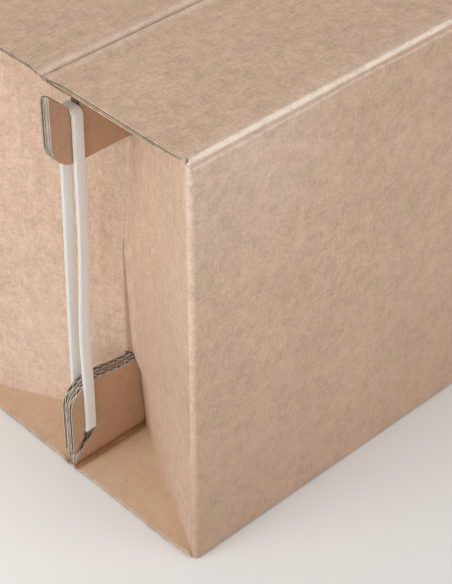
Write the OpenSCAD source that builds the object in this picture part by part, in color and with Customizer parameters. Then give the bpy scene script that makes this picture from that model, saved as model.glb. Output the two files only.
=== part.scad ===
// Cardboard cajon: a folding box drum of corrugated board. Two upright panels
// and four folded side gussets make the shell. Two flaps at the top and two at
// the bottom close it, and each flap ends in a tuck whose ears come out through
// the V fold of the gussets. An elastic band on each side hooks the upper and
// lower ears together and holds the box shut.
// Frame: origin on the floor under the middle of the box, +Z up, front at -Y.

/* [Body] */
// Outside width, left to right
body_w = 350; // [320:1:400]
// Outside depth, front to back
body_d = 310; // [290:1:330]
// Outside height, floor to seat
body_h = 400; // [360:1:480]
// Thickness of the corrugated board
board_t = 5; // [4.5:0.5:5.5]

/* [Side recesses] */
// How far the V fold runs in from each side
recess_in = 78; // [70:1:84]
// Half width of the open slit at each end of the V fold
slit_half = 16; // [15:0.5:20]
// Length of that slit from the top or the bottom edge
slit_len = 92; // [91:1:100]
// Height at which the gaping lower part of the V fold closes
crack_top = 200; // [150:1:240]
// Half width of that gap where it meets the slit
crack_half = 2.5; // [1:0.5:4]

/* [Tucks and ears] */
// Height of an upper tuck, from the outside face of its flap
tuck_top = 86; // [78:1:88]
// Height of a lower tuck, from the outside face of its flap
tuck_low = 89; // [78:1:90]
// Space between the front and the rear tuck
tuck_gap = 2.4; // [2:0.2:4]
// Radius of the ears' free corners
ear_r = 24; // [10:1:26]
// How far the upper ears stand out past the flap's side edges
ear_out_top = 3; // [0:0.5:4]
// How far the lower ears stand out past the flap's side edges
ear_out_low = 2; // [0:0.5:2]

/* [Band slots] */
// Each slot is a slanted channel that ends in a level notch for the band.
// Depths are below the outside face of the flap, runs in from its side edge.
// Depth of the channel's wedge side at the edge, upper ears
wedge_top = 7; // [6:0.5:8]
// Depth of the channel's wedge side at the edge, lower ears
wedge_low = 14; // [12:0.5:14.5]
// Depth of the channel's wedge side at its inner end
wedge_end = 34.4; // [33:0.2:35]
// Depth of the channel's ear side at the edge
ramp_start = 19.6; // [19:0.2:21]
// How far the slot runs in, upper ears
slot_in_top = 27; // [26.5:0.5:30]
// How far the slot runs in, lower ears
slot_in_low = 23.5; // [22.5:0.5:26]
// Depth of the notch's seat, upper ears
seat_top = 39.5; // [39:0.5:42]
// Depth of the notch's seat, lower ears
seat_low = 40.5; // [39:0.5:42]

/* [Bands] */
// Distance of a band from the flap's side edge at the upper notch
band_top = 16; // [15.6:0.1:16.4]
// Distance of a band from the flap's side edge at the lower notch
band_low = 11; // [10.6:0.1:11.4]
// Width of a band
band_w = 10; // [8:0.5:10]
// Thickness of a band
band_t = 3.6; // [2:0.2:4]
// Thickness of a band where it is stretched over an ear
band_bent = 2.6; // [1.5:0.1:3]
// Clear space between a band and the boards of the ears
band_clear = 0.4; // [0.3:0.05:0.6]

/* [Sound hole] */
// Diameter of the sound hole in the rear panel
hole_d = 110; // [80:1:130]
// Height of its centre above the floor
hole_z = 250; // [180:1:290]

/* [Glue tab] */
// Width of the tab that closes the shell into a ring
tab_w = 35; // [25:1:45]
// Thickness of the pressed tab
tab_t = 3; // [2.5:0.5:4]

/* [Hidden] */
// Free space at a crease that folds, and over the gussets
gap = 0.3;
hw = body_w / 2;
hd = body_d / 2;
t = board_t;
// Angle of a gusset from the front-to-back direction
lean = atan(recess_in / hd);
// Board thickness measured across X on a gusset
skew = t / cos(lean);
// Setback of the mitre where a gusset meets an upright panel
mitre = t / tan((90 - lean) / 2);
// Crease line of a tuck: inner corner of its fold
fold_y = tuck_gap / 2 + t;
// Half width of a band's loop, inside and outside
loop_i = tuck_gap / 2 + t + band_clear;
loop_o = loop_i + band_t;
// Outer edges of the band's notches
notch_top = band_top - 1;
notch_low = band_low - 1;
kraft = [0.77, 0.66, 0.55];
kraft_shade = [0.70, 0.57, 0.46];
rubber = [0.85, 0.81, 0.75];

// ---- shapes that repeat ------------------------------------------------

// Turns a front, top or left shape into its rear, bottom or right twin
module to_rear() { mirror([0, 1, 0]) children(); }
module to_right() { mirror([1, 0, 0]) children(); }
module to_bottom() { translate([0, 0, body_h]) mirror([0, 0, 1]) children(); }

// A shape drawn in X and Z, made thick along Y from y0 to y1
module upright(y0, y1) {
    translate([0, y1, 0]) rotate([90, 0, 0])
        linear_extrude(height = y1 - y0) children();
}

// Half-round roll along X: the rounded outside of a crease, upper half
module roll_top(y, z, r) {
    intersection() {
        translate([-hw, y, z]) rotate([0, 90, 0])
            cylinder(h = body_w, r = r, $fn = 48);
        translate([-hw, y - r, z]) cube([body_w, 2 * r, r]);
    }
}

// Upright panel with a rolled crease along its top and bottom edges
module wall() {
    translate([0, 0, t]) linear_extrude(height = body_h - 2 * t)
        polygon([[-hw, -hd], [hw, -hd], [hw - mitre, -hd + t], [-hw + mitre, -hd + t]]);
    translate([-hw, -hd, t / 2]) cube([body_w, t, t / 2]);
    translate([-hw, -hd, body_h - t]) cube([body_w, t, t / 2]);
    roll_top(-hd + t / 2, body_h - t / 2, t / 2);
    to_bottom() roll_top(-hd + t / 2, body_h - t / 2, t / 2);
}

// Left front gusset: half of the V fold, with its slits and the lower gap
module gusset() {
    difference() {
        translate([0, 0, t + gap]) linear_extrude(height = body_h - 2 * t - 2 * gap)
            polygon([[-hw, -hd], [-hw + mitre, -hd + t],
                     [-hw + recess_in + skew, 0], [-hw + recess_in, 0]]);
        translate([-hw, -slit_half, -1]) cube([hw, slit_half + 1, slit_len + 1]);
        translate([-hw, -slit_half, body_h - slit_len]) cube([hw, slit_half + 1, slit_len + 1]);
        translate([-hw, 0, 0]) rotate([90, 0, 90]) linear_extrude(height = hw)
            polygon([[-crack_half, slit_len - 1], [1, slit_len - 1], [1, crack_top], [0, crack_top]]);
    }
}

// Top front flap, hollowed round the crease it turns on
module flap() {
    difference() {
        translate([-hw, -hd + t / 2, body_h - t])
            cube([body_w, hd - t / 2 - fold_y - gap, t]);
        translate([-hw - 1, -hd + t / 2, body_h - t / 2]) rotate([0, 90, 0])
            cylinder(h = body_w + 2, r = t / 2 + gap, $fn = 64);
        translate([-hw - 1, -hd + t / 2 - 1, body_h - t - 1])
            cube([body_w + 2, t / 2 + gap + 1, t / 2 + 1]);
    }
}

// Slot in a left ear, drawn in X and Z as for the top: w is the depth of the
// wedge side at the edge, in how far the slot runs, nx and nd the outer edge and
// the depth of the notch, rd the depth of the ear side where the notch begins
module ear_slot(w, in, nx, nd, rd) {
    a = 6;
    polygon([[-hw - a, body_h - w + a * (wedge_end - w) / in],
             [-hw + in, body_h - wedge_end],
             [-hw + in, body_h - nd],
             [-hw + nx, body_h - nd],
             [-hw + nx, body_h - rd],
             [-hw - a, body_h - ramp_start + a * (rd - ramp_start) / nx]]);
}

// What is cut off a left ear's free corner, drawn in X and Z
module ear_corner(out, h) {
    difference() {
        translate([-hw - out - 1, body_h - h - 1]) square([ear_r + 1, ear_r + 1]);
        translate([-hw - out + ear_r, body_h - h + ear_r]) circle(r = ear_r, $fn = 64);
    }
}

// Slot and free corner of an upper or a lower left ear
module ear_cut(low) {
    if (low) {
        ear_slot(wedge_low, slot_in_low, notch_low, seat_low, seat_low - 7.9);
        ear_corner(ear_out_low, tuck_low);
    } else {
        ear_slot(wedge_top, slot_in_top, notch_top, seat_top, seat_top - 5.1);
        ear_corner(ear_out_top, tuck_top);
    }
}

// Front tuck with its two slotted ears, drawn as for the top
module tuck(low) {
    out = low ? ear_out_low : ear_out_top;
    h = low ? tuck_low : tuck_top;
    difference() {
        union() {
            translate([-hw, -fold_y, body_h - h]) cube([body_w, t, h - t]);
            translate([-hw - out, -fold_y, body_h - h])
                cube([body_w + 2 * out, t, h - ramp_start + out]);
            intersection() {
                translate([-hw, -fold_y, body_h - t]) rotate([0, 90, 0])
                    cylinder(h = body_w, r = t, $fn = 64);
                translate([-hw, -fold_y, body_h - t]) cube([body_w, t, t]);
            }
        }
        upright(-fold_y - 1, 1) ear_cut(low);
        to_right() upright(-fold_y - 1, 1) ear_cut(low);
    }
}

// Part of the left band that lies over an ear, drawn as for the top: a flat
// strap with its outer corners taken off. Its feet stand a little below the seat
module band_strap(x, seat) {
    z = body_h - seat;
    translate([-hw + x, 0, z]) rotate([90, 0, 90]) linear_extrude(height = band_w)
        polygon([[-loop_o, -3], [-loop_o, 0], [-loop_o + 2.4, band_clear + band_bent],
                 [loop_o - 2.4, band_clear + band_bent], [loop_o, 0], [loop_o, -3],
                 [loop_i, -3], [loop_i, band_clear], [-loop_i, band_clear], [-loop_i, -3]]);
}

// One straight run of the left band, from the upper strap to the lower
module band_run(y0, y1) {
    upright(y0, y1)
        polygon([[-hw + band_top, body_h - seat_top - 3],
                 [-hw + band_low, seat_low + 3],
                 [-hw + band_low + band_w, seat_low + 3],
                 [-hw + band_top + band_w, body_h - seat_top - 3]]);
}

module band() {
    band_run(-loop_o, -loop_i);
    band_run(loop_i, loop_o);
    band_strap(band_top, seat_top);
    to_bottom() band_strap(band_low, seat_low);
}

// ---- the pieces --------------------------------------------------------

// The panel that is played
module front_panel() { color(kraft) wall(); }

// The panel behind, with the sound hole
module rear_panel() {
    color(kraft) difference() {
        to_rear() wall();
        translate([0, hd - t - 1, hole_z]) rotate([-90, 0, 0])
            cylinder(h = t + 2, d = hole_d, $fn = 96);
    }
}

module left_gusset_front() { color(kraft_shade) gusset(); }
module left_gusset_rear() { color(kraft_shade) to_rear() gusset(); }
module right_gusset_front() { color(kraft_shade) to_right() gusset(); }
module right_gusset_rear() { color(kraft_shade) to_right() to_rear() gusset(); }

// Tab glued to the inside of the rear panel at its right corner
module glue_tab() {
    color(kraft_shade) translate([0, 0, 4 * t]) linear_extrude(height = body_h - 8 * t)
        polygon([[hw - mitre - tab_w, hd - t], [hw - mitre - tab_w, hd - t - tab_t],
                 [hw - mitre - tab_t * tan(lean), hd - t - tab_t], [hw - mitre, hd - t]]);
}

module top_front_flap() { color(kraft) flap(); }
module top_front_tuck() { color(kraft_shade) tuck(false); }
module top_rear_flap() { color(kraft) to_rear() flap(); }
module top_rear_tuck() { color(kraft_shade) to_rear() tuck(false); }
module bottom_front_flap() { color(kraft) to_bottom() flap(); }
module bottom_front_tuck() { color(kraft_shade) to_bottom() tuck(true); }
module bottom_rear_flap() { color(kraft) to_bottom() to_rear() flap(); }
module bottom_rear_tuck() { color(kraft_shade) to_bottom() to_rear() tuck(true); }

module left_band() { color(rubber) band(); }
module right_band() { color(rubber) to_right() band(); }

front_panel();
rear_panel();
left_gusset_front();
left_gusset_rear();
right_gusset_front();
right_gusset_rear();
glue_tab();
top_front_flap();
top_front_tuck();
top_rear_flap();
top_rear_tuck();
bottom_front_flap();
bottom_front_tuck();
bottom_rear_flap();
bottom_rear_tuck();
left_band();
right_band();
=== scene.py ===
import bpy, bmesh, math
import numpy as np
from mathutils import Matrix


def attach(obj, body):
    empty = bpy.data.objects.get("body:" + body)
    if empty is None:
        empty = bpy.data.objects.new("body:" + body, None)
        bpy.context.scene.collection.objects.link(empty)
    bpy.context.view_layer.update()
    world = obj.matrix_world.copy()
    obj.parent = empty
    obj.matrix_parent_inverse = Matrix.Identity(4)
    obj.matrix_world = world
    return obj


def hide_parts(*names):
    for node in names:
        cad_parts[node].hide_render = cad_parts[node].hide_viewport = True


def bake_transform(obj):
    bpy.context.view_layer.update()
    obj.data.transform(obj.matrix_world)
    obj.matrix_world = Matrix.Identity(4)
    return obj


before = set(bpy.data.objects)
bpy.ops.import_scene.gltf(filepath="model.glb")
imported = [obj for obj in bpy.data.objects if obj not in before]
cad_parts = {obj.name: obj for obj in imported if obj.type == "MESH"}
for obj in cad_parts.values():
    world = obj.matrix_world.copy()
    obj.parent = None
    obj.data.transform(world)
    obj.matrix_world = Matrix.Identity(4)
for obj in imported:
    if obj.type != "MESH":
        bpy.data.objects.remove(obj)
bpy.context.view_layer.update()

# ---------------------------------------------------------------- sizes (mm)
MM = 0.001
HW, HD, H, T = 175.0, 155.0, 400.0, 5.0
W = 2 * HW
VIN = 78.0                                  # depth of the side folds
LEAN = math.atan2(VIN, HD)
GD = np.array([math.sin(LEAN), math.cos(LEAN)])     # along a gusset, from its corner
GN = np.array([math.cos(LEAN), -math.sin(LEAN)])    # into the board
GL = math.hypot(VIN, HD)
HALF = (math.pi / 2 + LEAN) / 2             # half the turn of a corner crease
TANH = math.tan(HALF)
MITRE = T * math.cos(LEAN) / (1 - math.sin(LEAN))
FOLD = 6.2                                  # tuck: inner face from the mid plane
SLIT, SLIT_LEN = 7.0, 87.2                  # the slit's lips rest close to the ears
EAR_R = 24.0
# slots in the ears: (wedge depth at the edge, run, notch's outer edge, seat depth, ramp depth at the notch, ear past the edge)
SLOT_TOP = (7.0, 27.0, 15.0, 39.5, 34.4, 3.0)
SLOT_LOW = (14.0, 23.5, 10.0, 40.5, 32.6, 2.0)
WEDGE_END, RAMP = 34.4, 19.6
HOLE_R, HOLE_Z = 55.0, 250.0
PITCH = 9.0
LINER = 0.18                                # share of the board's thickness


def smooth(t):
    t = np.clip(t, 0.0, 1.0)
    return t * t * (3 - 2 * t)


def hump(x, centre, width):
    return np.exp(-((x - centre) / width) ** 2)


# ---------------------------------------------------------------- materials
def node(nt, kind, x=0, y=0, **kw):
    n = nt.nodes.new(kind)
    n.location = (x, y)
    for k, v in kw.items():
        setattr(n, k, v)
    return n


def noise(nt, coord, scale, detail=3.0, rough=0.5, stretch=None, shift=(0, 0, 0)):
    m = node(nt, "ShaderNodeMapping")
    nt.links.new(coord, m.inputs["Vector"])
    m.inputs["Scale"].default_value = stretch or (1, 1, 1)
    m.inputs["Location"].default_value = shift
    n = node(nt, "ShaderNodeTexNoise")
    n.inputs["Scale"].default_value = scale
    n.inputs["Detail"].default_value = detail
    n.inputs["Roughness"].default_value = rough
    nt.links.new(m.outputs["Vector"], n.inputs["Vector"])
    return n.outputs["Fac"]


def span(nt, value, a, b, c, d):
    r = node(nt, "ShaderNodeMapRange")
    nt.links.new(value, r.inputs["Value"])
    r.inputs["From Min"].default_value = a
    r.inputs["From Max"].default_value = b
    r.inputs["To Min"].default_value = c
    r.inputs["To Max"].default_value = d
    return r.outputs["Result"]


def calc(nt, op, a, b):
    m = node(nt, "ShaderNodeMath", operation=op)
    for i, v in enumerate((a, b)):
        if isinstance(v, (int, float)):
            m.inputs[i].default_value = v
        else:
            nt.links.new(v, m.inputs[i])
    return m.outputs["Value"]


def blend_col(nt, fac, a, b, mode="MIX"):
    m = node(nt, "ShaderNodeMix", data_type="RGBA", blend_type=mode)
    if isinstance(fac, (int, float)):
        m.inputs["Factor"].default_value = fac
    else:
        nt.links.new(fac, m.inputs["Factor"])
    for key, v in (("A", a), ("B", b)):
        sock = [s for s in m.inputs if s.name == key and s.type == "RGBA"][0]
        if isinstance(v, tuple):
            sock.default_value = (*v, 1)
        else:
            nt.links.new(v, sock)
    return [s for s in m.outputs if s.type == "RGBA"][0]


def paper(name, base, spread, worn_and_highlight_colour, rough=0.86, bump=0.25, grain=1.0, specular=0.28, warm=0.014):
    """Uncoated paper board: fibres in three directions, cloudy formation, flecks, and a per-point mark that paints pale
    wear, painted highlight and painted light where it is above 0 and painted shade where it is below 0.
    """
    mat = bpy.data.materials.new(name)
    mat.use_nodes = True
    nt = mat.node_tree
    nt.nodes.clear()
    out = node(nt, "ShaderNodeOutputMaterial", 900, 0)
    bs = node(nt, "ShaderNodeBsdfPrincipled", 600, 0)
    nt.links.new(bs.outputs[0], out.inputs[0])
    co = node(nt, "ShaderNodeTexCoord").outputs["Object"]
    cloud = noise(nt, co, 14, 3, 0.5)
    form = noise(nt, co, 95, 4, 0.6, shift=(3, 1, 2))
    fine = noise(nt, co, 330, 5, 0.6, shift=(2, 8, 5))
    fx = noise(nt, co, 640, 2, 0.6, stretch=(0.14, 1, 1))
    fy = noise(nt, co, 640, 2, 0.6, stretch=(1, 0.14, 1), shift=(7, 3, 1))
    fz = noise(nt, co, 640, 2, 0.6, stretch=(1, 1, 0.14), shift=(1, 9, 4))
    fib = calc(nt, "MULTIPLY", calc(nt, "ADD", calc(nt, "ADD", fx, fy), fz), 0.3333)
    val = calc(nt, "ADD", calc(nt, "MULTIPLY", cloud, 0.6), calc(nt, "MULTIPLY", form, 1.4 * grain))
    val = calc(nt, "ADD", val, calc(nt, "MULTIPLY", fine, 1.3 * grain))
    val = calc(nt, "ADD", val, calc(nt, "MULTIPLY", fib, 2.6 * grain))
    mid = 0.3 + 0.5 * (1.4 + 1.3 + 2.6) * grain
    val = span(nt, val, mid - 0.5, mid + 0.5, 0, 1)
    pale = tuple(min(1.0, x * (1 + spread)) for x in base)
    deep = tuple(x * (1 - spread) for x in base)
    a = blend_col(nt, val, deep, pale)
    tint = noise(nt, co, 48, 3, 0.6, shift=(9, 2, 6))
    rosy = (1 + warm, 1 - warm, 1 + 0.6 * warm)
    sandy = (1 - 0.4 * warm, 1 + 0.6 * warm, 1 - 1.6 * warm)
    hue = blend_col(nt, span(nt, tint, 0.35, 0.65, 0, 1), rosy, sandy)
    a = blend_col(nt, 1.0, a, hue, "MULTIPLY")
    fleck = span(nt, noise(nt, co, 520, 2, 0.5, stretch=(1, 0.7, 0.8), shift=(5, 5, 5)), 0.69, 0.76, 0, 1)
    dark = tuple(x * 0.6 for x in base)
    a = blend_col(nt, calc(nt, "MULTIPLY", fleck, 0.4), a, dark)
    # the mark above 0 pales the board: wear on the folds with painted highlight and painted light
    at = node(nt, "ShaderNodeAttribute", attribute_name="wear").outputs["Fac"]
    patch = span(nt, calc(nt, "ADD", form, fine), 0.75, 1.25, 0.6, 1.15)
    pale_wear_and_painted_light = calc(nt, "MULTIPLY", calc(nt, "MAXIMUM", at, 0.0), patch)
    a = blend_col(nt, pale_wear_and_painted_light, a, worn_and_highlight_colour)
    # the mark below 0 is painted shade, browner where it is deep
    painted_shade = calc(nt, "MULTIPLY", calc(nt, "MAXIMUM", calc(nt, "MULTIPLY", at, -1.0), 0.0), patch)
    painted_shade_colour = blend_col(nt, span(nt, painted_shade, 0.2, 0.55, 0, 1), tuple(x * k for x, k in zip(base, (0.36, 0.30, 0.26))), tuple(x * k for x, k in zip(base, (0.47, 0.29, 0.13))))
    a = blend_col(nt, painted_shade, a, painted_shade_colour)
    nt.links.new(a, bs.inputs["Base Color"])
    nt.links.new(span(nt, fib, 0.35, 0.65, rough + 0.06, rough - 0.06), bs.inputs["Roughness"])
    bs.inputs["Specular IOR Level"].default_value = specular
    bp = node(nt, "ShaderNodeBump")
    bp.inputs["Strength"].default_value = bump
    bp.inputs["Distance"].default_value = 0.0004
    nt.links.new(calc(nt, "ADD", fib, fine), bp.inputs["Height"])
    nt.links.new(bp.outputs["Normal"], bs.inputs["Normal"])
    return mat


# the pale colour of kraft_outer serves the wear on the folds and the painted highlight on the rolled crease
KRAFT = paper("kraft_outer", (0.585, 0.410, 0.302), 0.20, (0.94, 0.80, 0.69))
KRAFT_IN = paper("kraft_inner", (0.594, 0.390, 0.258), 0.11, (0.70, 0.53, 0.38), grain=0.9)
CUT = paper("cut_edge", (0.50, 0.455, 0.40), 0.30, (0.70, 0.65, 0.58), rough=0.93, bump=0.6, specular=0.15)
FLUTE = paper("flute_paper", (0.50, 0.375, 0.275), 0.18, (0.5, 0.42, 0.34), rough=0.92, bump=0.5, specular=0.15)
# a darker copy of the flute paper: painted shade inside the tucks' slots and raw edges
FLUTE_SHADED = paper("flute_paper_shaded", (0.43, 0.335, 0.26), 0.22, (0.50, 0.42, 0.34), rough=0.94, bump=0.5, specular=0.1)
LID_CUT = paper("cut_edge_lid", (0.51, 0.415, 0.325), 0.34, (0.70, 0.60, 0.50), rough=0.93, bump=0.6, specular=0.15)
BOARD = [KRAFT, KRAFT_IN, CUT, FLUTE, FLUTE_SHADED, LID_CUT]
K_OUT, K_IN, K_CUT, K_FLU, K_FLU_SHADED, K_LID = range(6)


def rubber(name):
    mat = bpy.data.materials.new(name)
    mat.use_nodes = True
    nt = mat.node_tree
    bs = nt.nodes["Principled BSDF"]
    co = node(nt, "ShaderNodeTexCoord").outputs["Object"]
    lines = noise(nt, co, 900, 2, 0.5, stretch=(1, 1, 0.02))
    soft = noise(nt, co, 60, 3, 0.5, stretch=(1, 1, 0.35), shift=(2, 4, 1))
    dust = noise(nt, co, 1300, 2, 0.6)
    a = blend_col(nt, span(nt, soft, 0.3, 0.7, 0, 1), (0.905, 0.95, 0.93), (0.94, 0.975, 0.96))
    a = blend_col(nt, span(nt, lines, 0.35, 0.65, 0, 0.35), a, (0.87, 0.89, 0.885))
    a = blend_col(nt, span(nt, dust, 0.60, 0.72, 0, 0.30), a, (0.74, 0.69, 0.62))
    side = node(nt, "ShaderNodeAttribute", attribute_name="wear").outputs["Fac"]
    a = blend_col(nt, side, a, (0.66, 0.655, 0.635))
    nt.links.new(a, bs.inputs["Base Color"])
    nt.links.new(span(nt, dust, 0.3, 0.7, 0.36, 0.50), bs.inputs["Roughness"])
    bs.inputs["Specular IOR Level"].default_value = 0.35
    bs.inputs["Subsurface Weight"].default_value = 0.3
    bs.inputs["Subsurface Radius"].default_value = (0.9, 0.95, 1.0)
    bs.inputs["Subsurface Scale"].default_value = 0.003
    bp = node(nt, "ShaderNodeBump")
    bp.inputs["Strength"].default_value = 0.25
    bp.inputs["Distance"].default_value = 0.0003
    nt.links.new(calc(nt, "ADD", lines, dust), bp.inputs["Height"])
    nt.links.new(bp.outputs["Normal"], bs.inputs["Normal"])
    return mat


RUBBER = rubber("band_rubber")


# ---------------------------------------------------------------- board sheets
def columns(u0, u1, step, extra=()):
    """u stations from u0 to u1 about a step apart, with the extra ones exactly in."""
    n = max(1, int(round((u1 - u0) / step)))
    marks = [(x, 0) for x in (u0, u1, *extra) if u0 - 1e-9 <= x <= u1 + 1e-9]
    marks += [(x, 1) for x in np.linspace(u0, u1, n + 1)[1:-1]]
    keep = sorted(x for x, k in marks if k == 0)
    out = [x for i, x in enumerate(keep) if i == 0 or x - keep[i - 1] > 1e-6]
    fixed = np.array(out)
    out += [x for x, k in marks if k == 1 and np.min(np.abs(fixed - x)) > 0.4 * step]
    return np.array(sorted(out))


def weave(strips):
    """Welds strips of a flat sheet, each (u stations, v rows per station), into points, faces and open rim edges."""
    pts, quads, base = [], [], 0
    for u, v in strips:
        n, m = v.shape
        pts.append(np.stack([np.repeat(u[:, None], m, 1), v], -1).reshape(-1, 2))
        i = np.arange(n * m).reshape(n, m) + base
        quads.append(np.stack([i[:-1, :-1], i[1:, :-1], i[1:, 1:], i[:-1, 1:]], -1).reshape(-1, 4))
        base += n * m
    pts, quads = np.concatenate(pts), np.concatenate(quads)
    key = np.round(pts / 0.002).astype(np.int64)
    _, first, inv = np.unique(key, axis=0, return_index=True, return_inverse=True)
    quads = inv.reshape(-1)[quads]
    pts = pts[first]
    faces = []
    for q in quads.tolist():
        f = [q[k] for k in range(4) if q[k] != q[k - 1]]
        if len(set(f)) == len(f) and len(f) > 2:
            faces.append(f)
    edges = {}
    for f in faces:
        for a, b in zip(f, f[1:] + f[:1]):
            edges[(a, b)] = edges.get((a, b), 0) + 1
    rim = [(a, b) for a, b in edges if (b, a) not in edges]
    return pts, faces, rim


class Mesh:
    def __init__(self):
        self.v, self.f, self.m, self.wear, self.n = [], [], [], [], 0

    def slab(self, flat, place, w0, w1, mats, wear=None, ragged=0.0, seed=1, cut=None):
        """A closed sheet between the depths w0 and w1 of a board. mats: lower face, upper face, rim."""
        pts, faces, rim = flat
        pts = pts.copy()
        if ragged:
            r = np.random.RandomState(seed)
            edge = np.unique(np.array(rim).reshape(-1))
            push = r.uniform(-ragged, ragged, (len(edge), 2))
            if cut is not None:
                push *= cut(pts[edge, 0], pts[edge, 1])[:, None]
            pts[edge] += push
        u, v = pts[:, 0], pts[:, 1]
        d0 = w0(u, v) if callable(w0) else np.full(len(pts), float(w0))
        d1 = w1(u, v) if callable(w1) else np.full(len(pts), float(w1))
        n, b = len(pts), self.n
        lo, hi = np.array([-HW - 2.95, -HD, 0.02]), np.array([HW + 2.95, HD, H - 0.02])
        self.v += [np.clip(place(u, v, d0), lo, hi), np.clip(place(u, v, d1), lo, hi)]
        amount = wear(u, v) if wear is not None else np.zeros(n)
        self.wear += [amount, amount]
        self.f += [[x + b for x in reversed(f)] for f in faces]
        self.m += [mats[0]] * len(faces)
        self.f += [[x + b + n for x in f] for f in faces]
        self.m += [mats[1]] * len(faces)
        self.f += [[p + b, q + b, q + b + n, p + b + n] for p, q in rim]
        if cut is None:
            self.m += [mats[2]] * len(rim)
        else:
            mid = np.array([(flat[0][p] + flat[0][q]) / 2 for p, q in rim])
            raw = cut(mid[:, 0], mid[:, 1]) > 0.5
            self.m += [mats[2] if r else (K_OUT if mats[0] == K_OUT else K_IN) for r in raw]
        self.n += 2 * n

    def solid(self, verts, faces, mat, wear=None):
        b = self.n
        self.v.append(np.asarray(verts, float))
        self.wear.append(np.zeros(len(verts)) if wear is None else wear)
        self.f += [[x + b for x in f] for f in faces]
        self.m += [mat] * len(faces)
        self.n += len(verts)

    def build(self, name, mats, sharp=38):
        me = bpy.data.meshes.new(name)
        me.from_pydata((np.concatenate(self.v) * MM).tolist(), [], self.f)
        for m in mats:
            me.materials.append(m)
        me.polygons.foreach_set("material_index", np.array(self.m, np.int32))
        me.polygons.foreach_set("use_smooth", np.ones(len(self.f), bool))
        # per-point mark: pale wear, painted highlight and painted light above 0, painted shade below 0
        at = me.attributes.new("wear", "FLOAT", "POINT")
        at.data.foreach_set("value", np.concatenate(self.wear).astype(np.float32))
        bm = bmesh.new()
        bm.from_mesh(me)
        bmesh.ops.recalc_face_normals(bm, faces=bm.faces)
        bm.to_mesh(me)
        bm.free()
        me.set_sharp_from_angle(angle=math.radians(sharp))
        me.update()
        ob = bpy.data.objects.new(name, me)
        bpy.context.scene.collection.objects.link(ob)
        return ob


def rim_distance(flat):
    """Distance of a point of the flat sheet from the sheet's raw edges."""
    pts, _, rim = flat
    a, b = pts[[e[0] for e in rim]], pts[[e[1] for e in rim]]
    marks = np.concatenate([a, (a + b) / 2])

    def dist(u, v):
        out = np.empty(len(u))
        for i in range(0, len(u), 2000):
            q = np.stack([u[i:i + 2000], v[i:i + 2000]], -1)
            out[i:i + 2000] = np.sqrt(((q[:, None, :] - marks[None, :, :]) ** 2).sum(-1).min(1))
        return out
    return dist


def corrugated(mesh, face, core, place, wear=None, phase=0.0, seed=1, ragged=0.16, cut=None, cap=None, back=None, wear_in=None, deep=1.2, liner=LINER, half=0.07, inside=None, raw=K_CUT):
    """Outer liner, fluted medium and inner liner of one board. The flutes are open for a short way in from the raw
    edges, where they can be seen. cap(u, v) is 1 where a crease closes the board's end."""
    inner = 1 - liner
    inside = K_FLU if inside is None else inside
    dist = rim_distance(back or face)

    def filled(u, v):
        far = smooth((dist(u, v) - deep) / 0.8)
        return np.maximum(far, cap(u, v)) if cap else far

    mesh.slab(face, place, 0.0, lambda u, v: liner + (inner - liner - 0.02) * filled(u, v), (K_OUT, inside, raw), wear, ragged, seed, cut)
    mesh.slab(back or face, place, inner, 1.0, (inside, K_IN, raw), wear_in, ragged, seed + 1, cut)
    amp = 0.5 - liner - half - 0.01

    def mid(u, v):
        flat = 1 - (cap(u, v) if cap else 0)
        return 0.5 + amp * np.sin(2 * math.pi * u / PITCH + phase) * flat

    mesh.slab(core, place, lambda u, v: mid(u, v) - half, lambda u, v: mid(u, v) + half, (inside, inside, raw), None, ragged, seed + 2, cut)


def rows(u, levels):
    return np.repeat(np.asarray(levels, float)[None, :], len(u), 0)


# ---------------------------------------------------------------- shell: front and rear panels
R_ROLL = 3.9
ROLL_V = H - R_ROLL
V_END = ROLL_V + (R_ROLL - 0.1) * math.pi / 2
IN_V = np.array([200, 384, 390, 393.6, ROLL_V, V_END])
IN_IN = np.array([5.0, 5.0, 5.1, 5.2, 5.0, 4.2])
IN_Z = np.array([200, 384, 389.4, 392.2, 394.2, 397.2])


FLAP_0 = 0.1 + R_ROLL                       # inset where the flap leaves the roll
FLAP_L = HD - FOLD - FLAP_0
FI_V = np.array([0, 2.6, 6.5, FLAP_L - 12, FLAP_L - 6.0, FLAP_L - 2.5, FLAP_L])
FI_IN = np.array([4.3, 6.6, 9.8, HD - FOLD - 12, HD - FOLD - 6.0, HD - FOLD - 2.5, HD - FOLD])
FI_D = np.array([2.7, 4.0, 5.0, 5.0, 4.6, 3.3, 2.3])
FLARE = 2.4                                 # how far a fold's crushed ends stand out


def ridge(s):
    """How far the scored line lies below the rolled top crease."""
    return 4.7 - 1.3 * smooth((s - 110) / 60.0)


def profile(s, v):
    """Inset and height of a panel's outer and inner face at station v, rolled over at the top and bottom creases."""
    low = v < H / 2
    up = np.where(low, H - v, v)
    th = np.clip((up - ROLL_V) / (R_ROLL - 0.1), 0, math.pi / 2)
    oz = np.where(up > ROLL_V, ROLL_V + R_ROLL * np.sin(th), up)
    ins = 0.1 + np.where(up > ROLL_V, R_ROLL * (1 - np.cos(th)), 0.0)
    d, dr = ROLL_V - up, ridge(np.maximum(s, 0))
    groove = 0.7 * np.sin(math.pi * np.clip(d / dr, 0, 1)) ** 2 - 0.09 * hump(d, dr, 1.1)
    ins = ins + np.where(low, 0.0, groove * (d > -0.01))
    iz = np.interp(up, IN_V, IN_Z)
    return (ins, np.where(low, H - oz, oz), np.interp(up, IN_V, IN_IN), np.where(low, H - iz, iz))


def corner_radius(v):
    return 1.2 + 2.8 * smooth((np.minimum(v, H - v) - 3.0) / 14.0)


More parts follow.
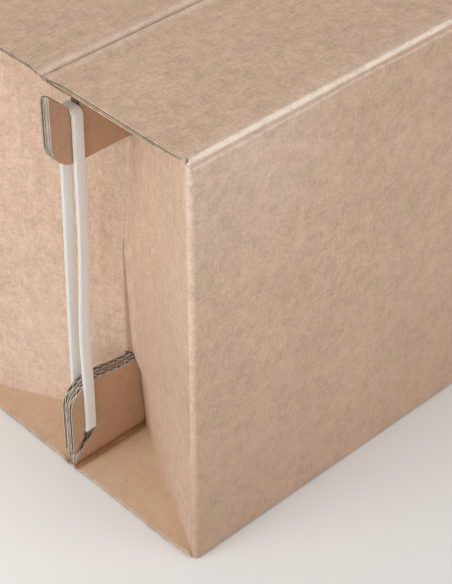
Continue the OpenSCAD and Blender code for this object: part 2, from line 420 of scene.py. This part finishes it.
def plan(u, r):
    """Outer line of the front and its corner crease, seen from above; u is the way from the corner, less than 0 on the gusset."""
    a = TANH * r
    th = -math.pi / 2 - HALF * (1 - u / a)
    px, py = a + r * np.cos(th), r + r * np.sin(th)
    nx, ny = -np.cos(th), -np.sin(th)
    flat, side = u >= a, u <= -a
    px = np.where(flat, u, np.where(side, -u * GD[0], px))
    py = np.where(flat, 0.0, np.where(side, -u * GD[1], py))
    nx = np.where(flat, 0.0, np.where(side, GN[0], nx))
    ny = np.where(flat, 1.0, np.where(side, GN[1], ny))
    return px, py, nx, ny


def washboard(u, v, size):
    return size * np.cos(2 * math.pi * u / PITCH)


def panel_place(rear):
    def place(u, v, w):
        right = u > W / 2
        s = np.where(right, W - u, u)
        ins, oz, ins_in, iz = profile(s, v)
        r = corner_radius(np.clip(v, 0, H))
        px, py, nx, ny = plan(s, r)
        calm = smooth((s - 4) / 30) * smooth((np.minimum(v, H - v) - 14) / 40)
        x = (u if rear else W - u)
        sway = 0.35 * np.sin(x / 47.0 + 0.6) * np.sin(v / 61.0 + 0.9) + 0.22 * np.sin(x / 23.0 - v / 39.0)
        ins = ins + calm * (0.35 + sway * 0.6 + washboard(u, v, 0.03))
        ox, oy = px + nx * ins, py + ny * ins
        si = np.abs(s)
        up = np.where(v < H / 2, H - v, v)
        square = smooth((up - ROLL_V) / 0.6)          # the rolls end square, the corner creases below them are mitred
        mi = np.where(si < 16, (MITRE + si * (16 - MITRE) / 16) * (1 - square) + si * square, si)
        ix = np.where(s < 0, GD[0] * mi + GN[0] * T, mi)
        iy = np.where(s < 0, GD[1] * mi + GN[1] * T, ins_in + calm * (0.35 + sway * 0.6))
        w = w * (1 - 0.6 * smooth((7 - si) / 7) * square)     # the ends of the rolls are crushed thin
        x = ox + (ix - ox) * w
        y = oy + (iy - oy) * w
        z = oz + (iz - oz) * w
        x = x + np.where(v < H / 2, 0.6, 1.7) * smooth((up - ROLL_V) / (V_END - ROLL_V)) * smooth((6 - s) / 6)
        z = z + np.where(v > H / 2, 1.3 * smooth((-s - 1.6) / 3.0) * smooth((v - GLIM[1]) / (ROLL_V - GLIM[1])), 0.0)
        tip = np.where(v < H / 2, smooth((up - (H - 9)) / 9) * smooth((7 - s) / 7), 0.0)
        x, y, z = x + 0.6 * tip, y + 1.5 * tip, z + 1.4 * tip
        x = np.where(right, W - x, x)
        return np.stack([x - HW, (HD - y) if rear else (y - HD), z], -1)
    return place


def panel_wear(u, v):
    s = np.minimum(u, W - u)
    crown = ROLL_V + (R_ROLL - 0.1) * math.pi / 4
    # painted highlight on the crown of the rolled top crease, over pale wear
    top = 0.92 * np.exp(-(np.maximum(np.abs(v - crown) - 0.9, 0) / 1.35) ** 2) * (0.7 + 0.3 * smooth(s / 25.0))
    # pale wear with painted highlight on the scored ridge below the roll
    ridge_wear_and_highlight = 0.38 * hump(ROLL_V - v, ridge(np.maximum(s, 0)), 1.2)
    patch = 0.75 + 0.25 * np.sin(v / 21.0) * np.sin(v / 8.3 + 1.0)
    # pale wear with painted highlight along the corner crease
    side = 0.26 * np.exp(-(np.maximum(np.abs(s + 1.9) - 1.4, 0) / np.where(s > 0, 5.0, 4.2)) ** 2) * patch * (0.35 + 0.65 * smooth((v - 40) / 200.0))
    tip = 0.5 * np.exp(-(s / 3.0) ** 2) * hump(v, 2.0, 3.5)
    # painted shade darkens the board towards the floor and towards the right; painted light makes it paler at the upper
    # left
    painted_shade = 0.29 * smooth((260 - v) / 260) * (0.6 + 0.4 * smooth((200 - u) / 200)) + 0.07 * smooth((u - 120) / 150)
    pale = 0.15 * smooth((v - 250) / 120) * smooth((190 - u) / 120)
    return np.clip(np.maximum(np.maximum(top, ridge_wear_and_highlight), np.maximum(side, tip)) + pale - painted_shade, -1, 1)


GLIM = [5.3, 394.7]
_roll = [ROLL_V + (R_ROLL - 0.1) * a for a in np.linspace(0, math.pi / 2, 8)]
TOP_V = sorted(set([250, 300, 340, 365, 376, 380, GLIM[1]] + [ROLL_V - x for x in (0.8, 1.6, 2.4, 3.2, 3.9, 4.6, 5.3, 6.2, 7.4, 9.2, 12.0)] + _roll))
LOW_V = sorted(set([H - x for x in (250, 300, 340, 365, 380, 390, GLIM[1], *_roll)]))
PANEL_V = LOW_V + [200] + TOP_V
CORE_V = [H - V_END, H - ROLL_V, GLIM[0], 16, 60, 130, 200, 270, 340, 384, 390, GLIM[1], ROLL_V, V_END]
WRAP = 8.0


def wrap_columns(step):
    return np.array([-WRAP, -7.2, -6.4, -5.4, -4.4, -3.4, -2.4, -1.2, 0.0])


def edge_columns():
    return [0.6, 1.2, 1.8, 2.4, 3.4, 4.4, 5.4, 6.4, 7.2, 8.0, 10.0, 13.0]


def panel_strips(u_main, levels, hole=None, n_arc=14):
    side = [x for x in levels if GLIM[0] - 1e-6 <= x <= ROLL_V + 1e-6]
    uw = wrap_columns(1)
    out = [(uw, rows(uw, side)), (W - uw[::-1], rows(uw, side))]
    if hole is None:
        out.append((u_main, rows(u_main, levels)))
        return out
    lo, hi = HW - HOLE_R, HW + HOLE_R
    th = np.linspace(0, math.pi, 45)
    uc = HW - HOLE_R * np.cos(th)
    below = [x for x in levels if x < HOLE_Z - HOLE_R - 4]
    above = [x for x in levels if x > HOLE_Z + HOLE_R + 4]
    fr = np.array([0.0, 0.3, 0.6, 0.85, 1.0])
    hgt = HOLE_R * np.sin(th)
    b0, a0 = below[-1], above[0]
    low = np.stack([b0 + (HOLE_Z - h - b0) * fr for h in hgt])
    top = np.stack([HOLE_Z + h + (a0 - HOLE_Z - h) * fr for h in hgt])
    out.append((uc, np.concatenate([rows(uc, below[:-1]), low], 1)))
    out.append((uc, np.concatenate([top, rows(uc, above[1:])], 1)))
    full = below[:-1] + (b0 + (HOLE_Z - b0) * fr).tolist() + (HOLE_Z + (a0 - HOLE_Z) * fr).tolist()[1:] + above[1:]
    for part in (u_main[u_main < lo - 0.3], u_main[u_main > hi + 0.3]):
        part = np.append(part, lo) if part[0] < lo else np.append(hi, part)
        out.append((part, rows(part, full)))
    return out


def panel(name, rear):
    ex = edge_columns()
    ex = ex + [W - x for x in ex]
    hole = True if rear else None
    face = weave(panel_strips(columns(0, W, 1.5, ex), PANEL_V, hole))
    core = weave(panel_strips(columns(0, W, PITCH / 8, ex), CORE_V, hole))
    m = Mesh()

    def cut(u, v):
        return (np.hypot(u - HW, v - HOLE_Z) < HOLE_R + 1).astype(float)

    def cap(u, v):
        s = np.minimum(u, W - u)
        up = np.maximum(v, H - v)
        shut = np.maximum(smooth((up - (V_END - 1.6)) / 1.5), smooth((up - 394.0) / 1.5) * smooth((4.0 - s) / 2.0))
        return shut * (s >= -1e-6)

    corrugated(m, face, core, panel_place(rear), panel_wear, seed=11 if rear else 21, cut=cut, cap=cap)
    return m.build(name, BOARD)


front = panel("front_board", False)
rear = panel("rear_board", True)


# ---------------------------------------------------------------- shell: folded sides
BOW_Z = np.array([0, 20, 92, 150, 205, 235, 267, 295, 345, 400.0])
BOW_X = np.array([0, -1.0, -6.5, -9.0, -11.0, -7.5, -2.5, 0.8, 1.0, 0])
_zz = np.linspace(0, 400, 401)
_bb = np.interp(_zz, BOW_Z, BOW_X)
_kk = np.exp(-np.linspace(-3, 3, 49) ** 2)
BOW = np.convolve(np.pad(_bb, 24, mode="edge"), _kk / _kk.sum(), mode="valid")
CRACK_HALF, CRACK_TOP = 4.2, 232.0


def torn(u, v):
    """1 in the tear of the outer paper along the side fold, widest at the lower slit."""
    half = CRACK_HALF * (1 - (v - SLIT_LEN) / (CRACK_TOP - SLIT_LEN)) / math.cos(LEAN)
    return smooth((half + 0.5 - (GL - u)) / 0.9) * (half > 0.05) * (v > SLIT_LEN - 1)


def gusset_place(sx, sy):
    def place(u, v, w):
        r = corner_radius(v)
        px, py, nx, ny = plan(-u, r)
        calm = smooth((u - 12) / 25) * smooth((GL - u) / 18) * smooth((np.minimum(v, H - v) - 8) / 40)
        sway = 0.5 * np.sin(u / 31.0 + sx) * np.sin(v / 57.0 + 1.1 * sy) + 0.25 * np.sin(u / 15.0 + v / 48.0)
        ins = 0.1 + calm * (0.5 * sway + washboard(u, v, 0.045)) + 0.12 * hump(u, GL - 6.0, 3.0) + 0.5 * torn(u, v)
        ox, oy = px + nx * ins, py + ny * ins
        mi = np.where(u < 16, MITRE + u * (16 - MITRE) / 16, u) + 2.5 * smooth((u - (GL - 25)) / 25)
        ti = T + calm * 0.5 * sway - 1.2 * smooth((u - (GL - 7)) / 7)
        ix, iy = GD[0] * mi + GN[0] * ti, GD[1] * mi + GN[1] * ti
        x, y = ox + (ix - ox) * w, oy + (iy - oy) * w
        y = np.minimum(y + (HD - 0.02 - y) * smooth((u - (GL - 2.5)) / 2.5) * (1 - w), HD - 0.02)
        x = x + np.interp(v, _zz, BOW) * (np.clip(u, 0, GL) / GL) ** 1.25
        # the ears push the slits' lips: in at the bottom, out a little at the top
        lip = smooth((u - (GL - 58)) / 50)
        x = x + lip * (4.2 * smooth((SLIT_LEN + 1 - v) / 6) - 2.0 * smooth((v - (H - SLIT_LEN - 2)) / 14))
        return np.stack([sx * (HW - x), sy * (HD - y), v], -1)
    return place


def flap_under(s, y):
    """Depth of a top flap's under face, s in from its side edge and y from the front; the edge is pressed thin at the corner."""
    v = y - FLAP_0
    press = np.exp(-s / 7.0) * 2.3 * (1 - smooth((v - 2) / 40)) * smooth(v / 3.0)
    return np.maximum(np.interp(v, FI_V, FI_D) - press, 1.6)


def gusset(name, sx, sy, seed):
    u_slit = GL * (HD - SLIT) / HD
    u_crack = GL - CRACK_HALF / math.cos(LEAN)
    lev = [GLIM[0], 14, 30, 55, 75, SLIT_LEN, 110, 130, 150, 175, 200, 225, 250, 275, 292, H - SLIT_LEN, 325, 345, 370, 386, GLIM[1]]

    def strips(step, levels, split):
        mids = [x for x in levels if SLIT_LEN - 1e-6 <= x <= H - SLIT_LEN + 1e-6]
        ua = columns(WRAP, u_slit, step, (10.0, 13.0, 16.0))
        ub = columns(u_slit, u_crack, step)
        uc = np.linspace(u_crack, GL, 7)
        rise = SLIT_LEN + (CRACK_TOP - SLIT_LEN) * (uc - u_crack) / (GL - u_crack) * split
        share = (np.array(mids) - SLIT_LEN) / (H - 2 * SLIT_LEN)
        # rows beside the crack slide up with its edge
        vc = rise[:, None] + (H - SLIT_LEN - rise[:, None]) * share[None, :]
        va = rows(ua, levels)
        va[:, -1] = np.maximum(GLIM[1], np.minimum(ROLL_V, H - flap_under(ua * GD[0], ua * GD[1]) - 0.15))
        return [(ua, va), (ub, rows(ub, mids)), (uc, vc)]

    face = weave(strips(1.5, lev, 0))
    back = face
    core = weave(strips(PITCH / 8, lev, 0))
    m = Mesh()

    def cut(u, v):
        return (u > WRAP + 0.1).astype(float)

    def wear(u, v):
        # painted shade and painted light: the front fold darker at mid height and paler near the crease, the rear fold
        # paler towards its outer corner, low down and near the crease
        if sy < 0:
            painted_light_and_streaks = -0.25 * hump(v, 150, 110) * (1 - smooth((u - (GL - 46)) / 30)) + 0.16 * smooth((u - (GL - 36)) / 24) * hump(v, 120, 95)
        else:
            painted_light_and_streaks = smooth((150 - u) / 50) * (0.45 + 0.55 * smooth((u - 15) / 60)) * (0.07 + 0.25 * smooth((200 - v) / 165)) + 0.08 * smooth((v - 240) / 80) * smooth((u - 90) / 40)
            painted_light_and_streaks = painted_light_and_streaks + 0.16 * smooth((u - 128) / 26) * hump(v, 95, 60)
        painted_light_and_streaks = painted_light_and_streaks + 0.035 * np.sin(u / 1.9 + 1.4 * np.sin(u / 6.1) + 0.5 * np.sin(v / 61.0)) * (0.6 + 0.4 * np.sin(v / 83.0 + u / 21.0)) * smooth((u - 14) / 10)
        # pale wear with painted highlight by the corner crease
        painted_light_and_streaks = painted_light_and_streaks + 0.075 * np.exp(-((u - WRAP) / 4.0) ** 2) * (0.35 + 0.65 * smooth((v - 40) / 200.0))
        # painted shade along the lower crease, strongest on the rear fold
        return 0.14 * hump(u, GL - 1.0, 2.5) * (1 - torn(u, v)) + painted_light_and_streaks - (0.66 if sy > 0 else 0.16) * torn(u, v)

    def cap(u, v):
        return smooth((u - (GL - 1.2)) / 1.1)

    corrugated(m, face, core, gusset_place(sx, sy), wear, phase=1.0, seed=seed, cut=cut, cap=cap, back=back)
    return m.build(name, BOARD)


lgf = gusset("left_gusset_front_board", -1, -1, 31)
lgr = gusset("left_gusset_rear_board", -1, 1, 35)
rgf = gusset("right_gusset_front_board", 1, -1, 39)
rgr = gusset("right_gusset_rear_board", 1, 1, 43)


def glue_tab():
    u = columns(0, 35, 1.5)
    uc = columns(0, 35, PITCH / 8)
    lev = [20, 60, 120, 200, 280, 340, 380]
    m = Mesh()
    x0 = HW - MITRE - 35

    def place(u, v, w):
        return np.stack([x0 + u, HD - T - 0.05 - 2.9 * w, v], -1)

    corrugated(m, weave([(u, rows(u, lev))]), weave([(uc, rows(uc, lev))]), place, seed=47)
    return m.build("glue_tab_board", BOARD)


tab = glue_tab()


# ---------------------------------------------------------------- flaps, their folds and tucks
def seat_frame(low, back):
    """Turns (x, inset from the outer face, depth below the flap's face) into the part frame."""
    def at(x, y, d):
        return np.stack([x - HW, (HD - y) if back else (y - HD), d if low else H - d], -1)
    return at


def flap(name, low, back, seed):
    at = seat_frame(low, back)
    lev = [0, 1, 2.6, 4.5, 6.5, 12, 20, 30, 42, 55, 80, 105, 120, FLAP_L - 12, FLAP_L - 9, FLAP_L - 6, FLAP_L - 4, FLAP_L - 2.5, FLAP_L - 1.2, FLAP_L]
    core_lev = [0, 2.6, 6.5, 12, 20, 30, 42, 90, 120, FLAP_L - 12, FLAP_L - 6, FLAP_L - 2.5, FLAP_L]

    def place(u, v, w):
        s = np.minimum(u, W - u)
        calm = smooth(s / 25) * smooth((np.minimum(v, FLAP_L - v) - 3) / 30)
        sag = calm * (0.35 + 0.35 * np.sin(u / 52.0 + seed) * np.sin(v / 33.0 + 0.5 * seed) + washboard(u, v, 0.025))
        sag = sag + 0.12 * hump(v, 3.0, 2.0)
        # side edges are pressed thin near the front crease and near the fold
        crush = np.exp(-s / 7.0) * (1.1 * smooth((v - (FLAP_L - 45)) / 45) + 2.3 * (1 - smooth((v - 2) / 40)) * smooth(v / 3.0)) * (0 if low else 1)
        oy, od = FLAP_0 + v, sag + 0.12 * crush
        iy, idp = np.interp(v, FI_V, FI_IN), np.interp(v, FI_V, FI_D)
        idp = np.maximum(idp - crush, 1.6 * np.ones_like(v))
        x = u + np.where(u < W / 2, -1, 1) * (0.4 if low else 1) * FLARE * smooth((22 - s) / 22) * smooth((v - (FLAP_L - 14)) / 14)
        x = x + np.where(u < W / 2, 1, -1) * (0.6 if low else 1.7) * (1 - smooth(v / (26 if low else 9))) * smooth((6 - s) / 6)
        tip = (1 - smooth(v / 26)) * smooth((7 - s) / 7) * (1 if low else 0)
        x = x + np.where(u < W / 2, 1, -1) * 0.6 * tip
        return at(x, oy + (iy - oy) * w + 1.5 * tip, od + (idp + sag * (np.abs(v - FLAP_L / 2) < FLAP_L / 2 - 8) - od) * w + 1.4 * tip)

    def wear(u, v):
        s = np.minimum(u, W - u)
        # pale wear and painted highlight next to the rolled crease of the top flaps and along the fold
        return np.clip(0.06 * np.exp(-(v / 1.5) ** 2) * (0 if low else 1)
                       + 0.12 * np.exp(-(v / 9.0) ** 2) * (0 if low else 1) + 0.22 * np.exp(-((FLAP_L - v) / 2.5) ** 2), 0, 1)

    def dark(u, v):
        # paler over the inner face of the lower flaps, and painted shade in the inner crease at the fold
        return (0.45 if low else 0.0) * smooth((FLAP_L - v - 2) / 8) - 0.6 * np.exp(-((FLAP_L - v) / 2.6) ** 2)

    def cut(u, v):
        return ((u < 0.5) | (u > W - 0.5)) & (v > 0.5) & (v < FLAP_L - 0.5)

    def cap(u, v):
        s = np.minimum(u, W - u)
        return np.maximum(smooth((1.0 - v) / 1.0), smooth((5.0 - v) / 3.0) * smooth((4.0 - s) / 2.0))

    ex = [0.7, W - 0.7]
    u, uc = columns(0, W, 1.5, ex), columns(0, W, PITCH / 8)
    m = Mesh()
    corrugated(m, weave([(u, rows(u, lev))]), weave([(uc, rows(uc, core_lev))]), place, wear, phase=0.0, seed=seed,
               ragged=0.06 if low else 0.16, cut=lambda a, b: cut(a, b).astype(float), cap=cap, wear_in=dark, deep=0.3 if low else 1.2, raw=K_LID)
    return m.build(name, BOARD)


def fold(name, low, back, seed):
    """The rounded fold between a flap and its tuck. The front one is sharper than the rear one."""
    at = seat_frame(low, back)
    lev = np.linspace(0, 1, 15)
    power = 2.5 if back else 5.0

    def place(u, v, w):
        s = np.minimum(u, W - u)
        th = math.pi / 2 * (1 - v)
        c, q = np.cos(th), np.sin(th)
        r = (np.abs(c) ** power + np.abs(q) ** power) ** (-1.0 / power)
        crush = np.exp(-s / 7.0)
        oy, oz = (FOLD - 0.65) * r * c, (T - 0.12 * 1.1 * crush) * r * q
        iy, iz = 2.7 * c, 2.7 * q + 1.0 * crush * q
        x = u + np.where(u < W / 2, -1, 1) * (0.4 if low else 1) * FLARE * smooth((22 - s) / 22) * (0.55 + 0.45 * np.cos(math.pi * v / 2))
        return at(x, HD - FOLD + oy + (iy - oy) * w, T - (oz + (iz - oz) * w))

    def wear(u, v):
        # pale wear with painted highlight on the rounded fold, stronger on the rear fold
        return np.clip((0.38 if back else 0.2) * hump(v, 0.22, 0.35), 0, 1)

    u, uc = columns(0, W, 1.5, (0.7, W - 0.7)), columns(0, W, PITCH / 8)
    m = Mesh()

    def cut(a, b):
        return ((a < 0.5) | (a > W - 0.5)).astype(float)

    # painted shade over the fold's inner face
    corrugated(m, weave([(u, rows(u, lev))]), weave([(uc, rows(uc, lev[::2]))]), place, wear, phase=0.0, seed=seed, cut=cut, ragged=0.1, wear_in=lambda a, b: np.full(len(a), -0.7), raw=K_LID)
    return m.build(name, BOARD)


def tuck_end(low, back, s):
    """Depth of a tuck's free edge, s in from the flap's side edge."""
    if not low:
        return 86.0 + 0 * s
    return (90.2 - 4.4 * smooth((s - 30) / 34)) if back else (84.6 + 4.8 * smooth((62 - s) / 34))


def tuck_strips(step, low, back, wedge_f, ear_f, fine):
    w0, run, nx, seat, rd, out = SLOT_LOW if low else SLOT_TOP
    rt = 9.0 if back and not low else 2.6   # round of the ear's outer tip
    wv = lambda s: w0 - T + (WEDGE_END - w0) * s / run
    ramp = lambda s: RAMP - T + (rd - RAMP) * s / nx
    tip = lambda s: rt * (1 - np.sqrt(np.maximum(0, 1 - (np.maximum(0, rt - (s + out)) / rt) ** 2)))
    ev = lambda s: tuck_end(low, back, s) - T - (EAR_R - np.sqrt(np.maximum(0, EAR_R ** 2 - np.maximum(0, EAR_R - (s + out)) ** 2)))
    wf, ef, sv = np.array(wedge_f), np.array(ear_f), seat - T
    arc = -out + EAR_R * (1 - np.cos(np.linspace(0, math.pi / 2, 17 if fine else 9)))
    tips = -out + rt * (1 - np.cos(np.linspace(0, math.pi / 2, 6)))
    marks = tuple(x for x in (*arc, *tips))
    a = columns(-out, nx, step, marks + (0.0,))
    b = columns(nx, run, step, marks)
    w = np.concatenate([a[a >= -1e-9], b[1:]])
    rise = ramp(a) + tip(a)
    upper = rise[:, None] + (sv - rise)[:, None] * np.array([0, 0.12, 0.3, 0.7])[None, :]
    ear = lambda x: sv + (ev(x) - sv)[:, None] * ef[None, :]
    wedge = wv(w)[:, None] * wf[None, :]
    mid = columns(run, W - run, step)
    head = np.concatenate([wedge[-1], [(wedge[-1, -1] + sv) / 2]])
    full = np.concatenate([rows(mid, head), ear(np.minimum(mid, W - mid))], 1)
    left = [(w, wedge), (a, np.concatenate([upper, ear(a)], 1)), (b, ear(b))]
    return left + [(mid, full)] + [(W - u[::-1], v[::-1]) for u, v in left]


def tuck(name, low, back, seed):
    at = seat_frame(low, back)

    def place(u, v, w):
        sway = 0.12 * np.sin(u / 19.0 + seed) * smooth(v / 30)
        pinch = np.interp(v, [0, 1.2, 3.0, 8.0], [2.0, 1.3, 0.6, 0.0])
        oy = HD - 0.65 + 0 * u
        iy = HD - FOLD + 0.4 + pinch + sway + washboard(u, v, 0.02)
        return at(u, oy + (iy - oy) * w, T + v)

    def wear(u, v):
        return 0.15 * np.exp(-(v / 3.0) ** 2)

    def cut(u, v):
        return (v > 0.3).astype(float)

    def dark(u, v):
        # painted shade over the ears' faces, deepest in the crease at the fold
        return -0.05 - 0.55 * np.exp(-(v / 2.6) ** 2)

    face = weave(tuck_strips(1.5, low, back, [0, 0.06, 0.14, 0.28, 0.55, 0.85, 0.95, 1.0], [0, 0.02, 0.06, 0.2, 0.4, 0.6, 0.8, 0.94, 0.98, 1.0], True))
    core = weave(tuck_strips(PITCH / 9, low, back, [0, 0.15, 0.4, 1.0], [0, 0.5, 1.0], False))
    m = Mesh()
    corrugated(m, face, core, place, wear, phase=0.9 + seed, seed=seed, cut=cut, ragged=0.2, wear_in=dark, deep=3.4, liner=0.14, half=0.085, inside=K_FLU_SHADED)
    return m.build(name, BOARD)


SETS = [("top_front", False, False), ("top_rear", False, True), ("bottom_front", True, False), ("bottom_rear", True, True)]
for i, (key, low, back) in enumerate(SETS):
    a = flap(key + "_flap_board", low, back, 51 + 8 * i)
    b = tuck(key + "_tuck_board", low, back, 101 + 8 * i)
    c = fold(key + "_fold_board", low, back, 151 + 8 * i)
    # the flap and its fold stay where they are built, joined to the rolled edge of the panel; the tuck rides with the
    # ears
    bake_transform(a)
    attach(b, key + "_ears")
    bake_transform(c)
    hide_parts(key + "_flap")
    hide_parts(key + "_tuck")

for p, n in ((front, "front_panel"), (rear, "rear_panel"), (lgf, "left_gusset_front"), (lgr, "left_gusset_rear"),
             (rgf, "right_gusset_front"), (rgr, "right_gusset_rear"), (tab, "glue_tab")):
    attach(p, "shell")
    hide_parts(n)


# ---------------------------------------------------------------- elastic bands
BAND_W, BAND_T, BAND_BENT, BAND_IN = 10.0, 3.6, 2.6, 6.6
BAND_TOP, BAND_LOW = 21.0, 16.0             # middle of the band from the flap's side edge, at the upper and lower seats


def band(name, sx):
    # cross-section: across the band (a) and outwards (b, 0 to 1), corners rounded
    rc, sec = 0.9, []
    for cx, cy, t0 in ((BAND_W / 2 - rc, 0.72, 0), (-BAND_W / 2 + rc, 0.72, 90), (-BAND_W / 2 + rc, 0.28, 180), (BAND_W / 2 - rc, 0.28, 270)):
        for k in range(6):
            t = math.radians(t0 + 18 * k)
            sec.append((cx + rc * math.cos(t), cy + 0.28 * math.sin(t)))
    # loop of the band's inner face: (y, rise from the seat, outward normal, share of the way from the upper to the lower seat, thickness)
    ri, clear, st = 3.2, 0.35, []
    arc = np.radians(np.linspace(0, 90, 9))
    thick = lambda nz: BAND_T + (BAND_BENT - BAND_T) * nz ** 2
    top = [(-(BAND_IN - ri) - ri * math.cos(t), -ri + ri * math.sin(t), -math.cos(t), math.sin(t)) for t in arc]
    top += [(y, 0.0, 0.0, 1.0) for y in (-2.6, 0.0, 2.6)]
    top += [((BAND_IN - ri) + ri * math.sin(t), -ri + ri * math.cos(t), math.sin(t), math.cos(t)) for t in arc]
    f0 = 0.03
    st += [(y, z + clear, ny, nz, 0.0, thick(nz)) for y, z, ny, nz in top]
    st += [(BAND_IN, -ri - 1.5, 1.0, 0.0, 0.0, BAND_T)]
    st += [(BAND_IN, 0.0, 1.0, 0.0, f, BAND_T) for f in np.linspace(f0, 1 - f0, 26)]
    st += [(BAND_IN, ri + 1.5, 1.0, 0.0, 1.0, BAND_T)]
    st += [(-y, -(z + clear), -ny, -nz, 1.0, thick(nz)) for y, z, ny, nz in top]
    st += [(-BAND_IN, ri + 1.5, -1.0, 0.0, 1.0, BAND_T)]
    st += [(-BAND_IN, 0.0, -1.0, 0.0, f, BAND_T) for f in np.linspace(1 - f0, f0, 26)]
    st += [(-BAND_IN, -ri - 1.5, -1.0, 0.0, 0.0, BAND_T)]
    zt, zl = H - SLOT_TOP[3], SLOT_LOW[3]
    verts, cut_side, n = [], [], len(sec)
    for y, z, ny, nz, f, th in st:
        # a long soft wave and a slight twist between the seats
        free = math.sin(math.pi * f)
        xc = BAND_TOP + (BAND_LOW - BAND_TOP) * f + 0.5 * free * math.sin(5.0 * f + (1.3 if y > 0 else 0.2))
        xc -= 0.0 if y > 0 else 2.4 * math.exp(-((f - 0.66) / 0.17) ** 2)
        tw = 0.09 * free * math.sin(4.2 * f + (2.0 if y > 0 else 0.6))
        zz = zt + (zl - zt) * f
        for a, b in sec:
            out = b * th - a * math.sin(tw)
            cut_side.append(smooth((abs(a) - (BAND_W / 2 - 0.75)) / 0.6))
            verts.append((sx * (HW - xc - a * math.cos(tw)), y + ny * out + 0.25 * ny * free, zz + z + nz * b * th))
    verts = np.array(verts)
    m, faces = len(st), []
    for i in range(m):
        for j in range(n):
            faces.append([i * n + j, i * n + (j + 1) % n, ((i + 1) % m) * n + (j + 1) % n, ((i + 1) % m) * n + j])
    me = Mesh()
    me.solid(verts, faces, 0, np.array(cut_side, float))
    return me.build(name, [RUBBER], sharp=60)


for side, sx in (("left", -1), ("right", 1)):
    b = band(side + "_band_loop", sx)
    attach(b, side + "_elastic")
    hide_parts(side + "_band")


# ---------------------------------------------------------------- floor, light, camera
def stage():
    me = bpy.data.meshes.new("floor")
    s = 5.0
    me.from_pydata([(-s, -s, -0.0004), (s, -s, -0.0004), (s, s, -0.0004), (-s, s, -0.0004)], [], [(0, 1, 2, 3)])
    ob = bpy.data.objects.new("floor", me)
    bpy.context.scene.collection.objects.link(ob)
    mat = bpy.data.materials.new("floor_pale")
    mat.use_nodes = True
    bs = mat.node_tree.nodes["Principled BSDF"]
    bs.inputs["Base Color"].default_value = (0.86, 0.855, 0.845, 1)
    bs.inputs["Roughness"].default_value = 0.9
    bs.inputs["Specular IOR Level"].default_value = 0.1
    me.materials.append(mat)


stage()
scene = bpy.context.scene
world = bpy.data.worlds.new("studio")
scene.world = world
world.use_nodes = True
bg = world.node_tree.nodes["Background"]
bg.inputs["Color"].default_value = (1.0, 0.99, 0.98, 1)
bg.inputs["Strength"].default_value = 0.4


def softbox(name, place, aim, size, power, colour=(1, 1, 1)):
    li = bpy.data.lights.new(name, "AREA")
    li.shape = "RECTANGLE"
    li.size, li.size_y = size
    li.energy = power
    li.color = colour
    ob = bpy.data.objects.new(name, li)
    ob.location = place
    d = np.array(aim, float) - np.array(place, float)
    import mathutils
    ob.rotation_euler = mathutils.Vector(d).to_track_quat("-Z", "Y").to_euler()
    ob.visible_camera = False
    scene.collection.objects.link(ob)
    return ob


softbox("key", (-1.393, -0.246, 1.885), (0, 0, 0.2), (1.4, 1.4), 13.6, (1.0, 0.985, 0.95))
softbox("front", (0.716, -1.966, 0.88), (0, 0, 0.2), (1.4, 1.4), 15.4)
softbox("left", (-1.3, 0.1, 0.5), (-0.1, 0.05, 0.15), (0.9, 0.9), 7.1, (0.96, 0.985, 1.0))
softbox("behind", (0.778, 1.347, 1.756), (0, 0, 0.2), (1.4, 1.4), 9.0, (1.0, 0.965, 0.91))

cam = bpy.data.cameras.new("camera")
cam.lens = 116.04
cam.sensor_width = 36.0
cam.sensor_fit = "AUTO"
cam.clip_start, cam.clip_end = 0.05, 30
co = bpy.data.objects.new("camera", cam)
scene.collection.objects.link(co)
co.location = (-0.8821, -0.9418, 1.1441)
import mathutils
co.rotation_euler = mathutils.Vector((0.53312, 0.56450, -0.63018)).to_track_quat("-Z", "Y").to_euler()
scene.camera = co
scene.view_settings.view_transform = "Standard"
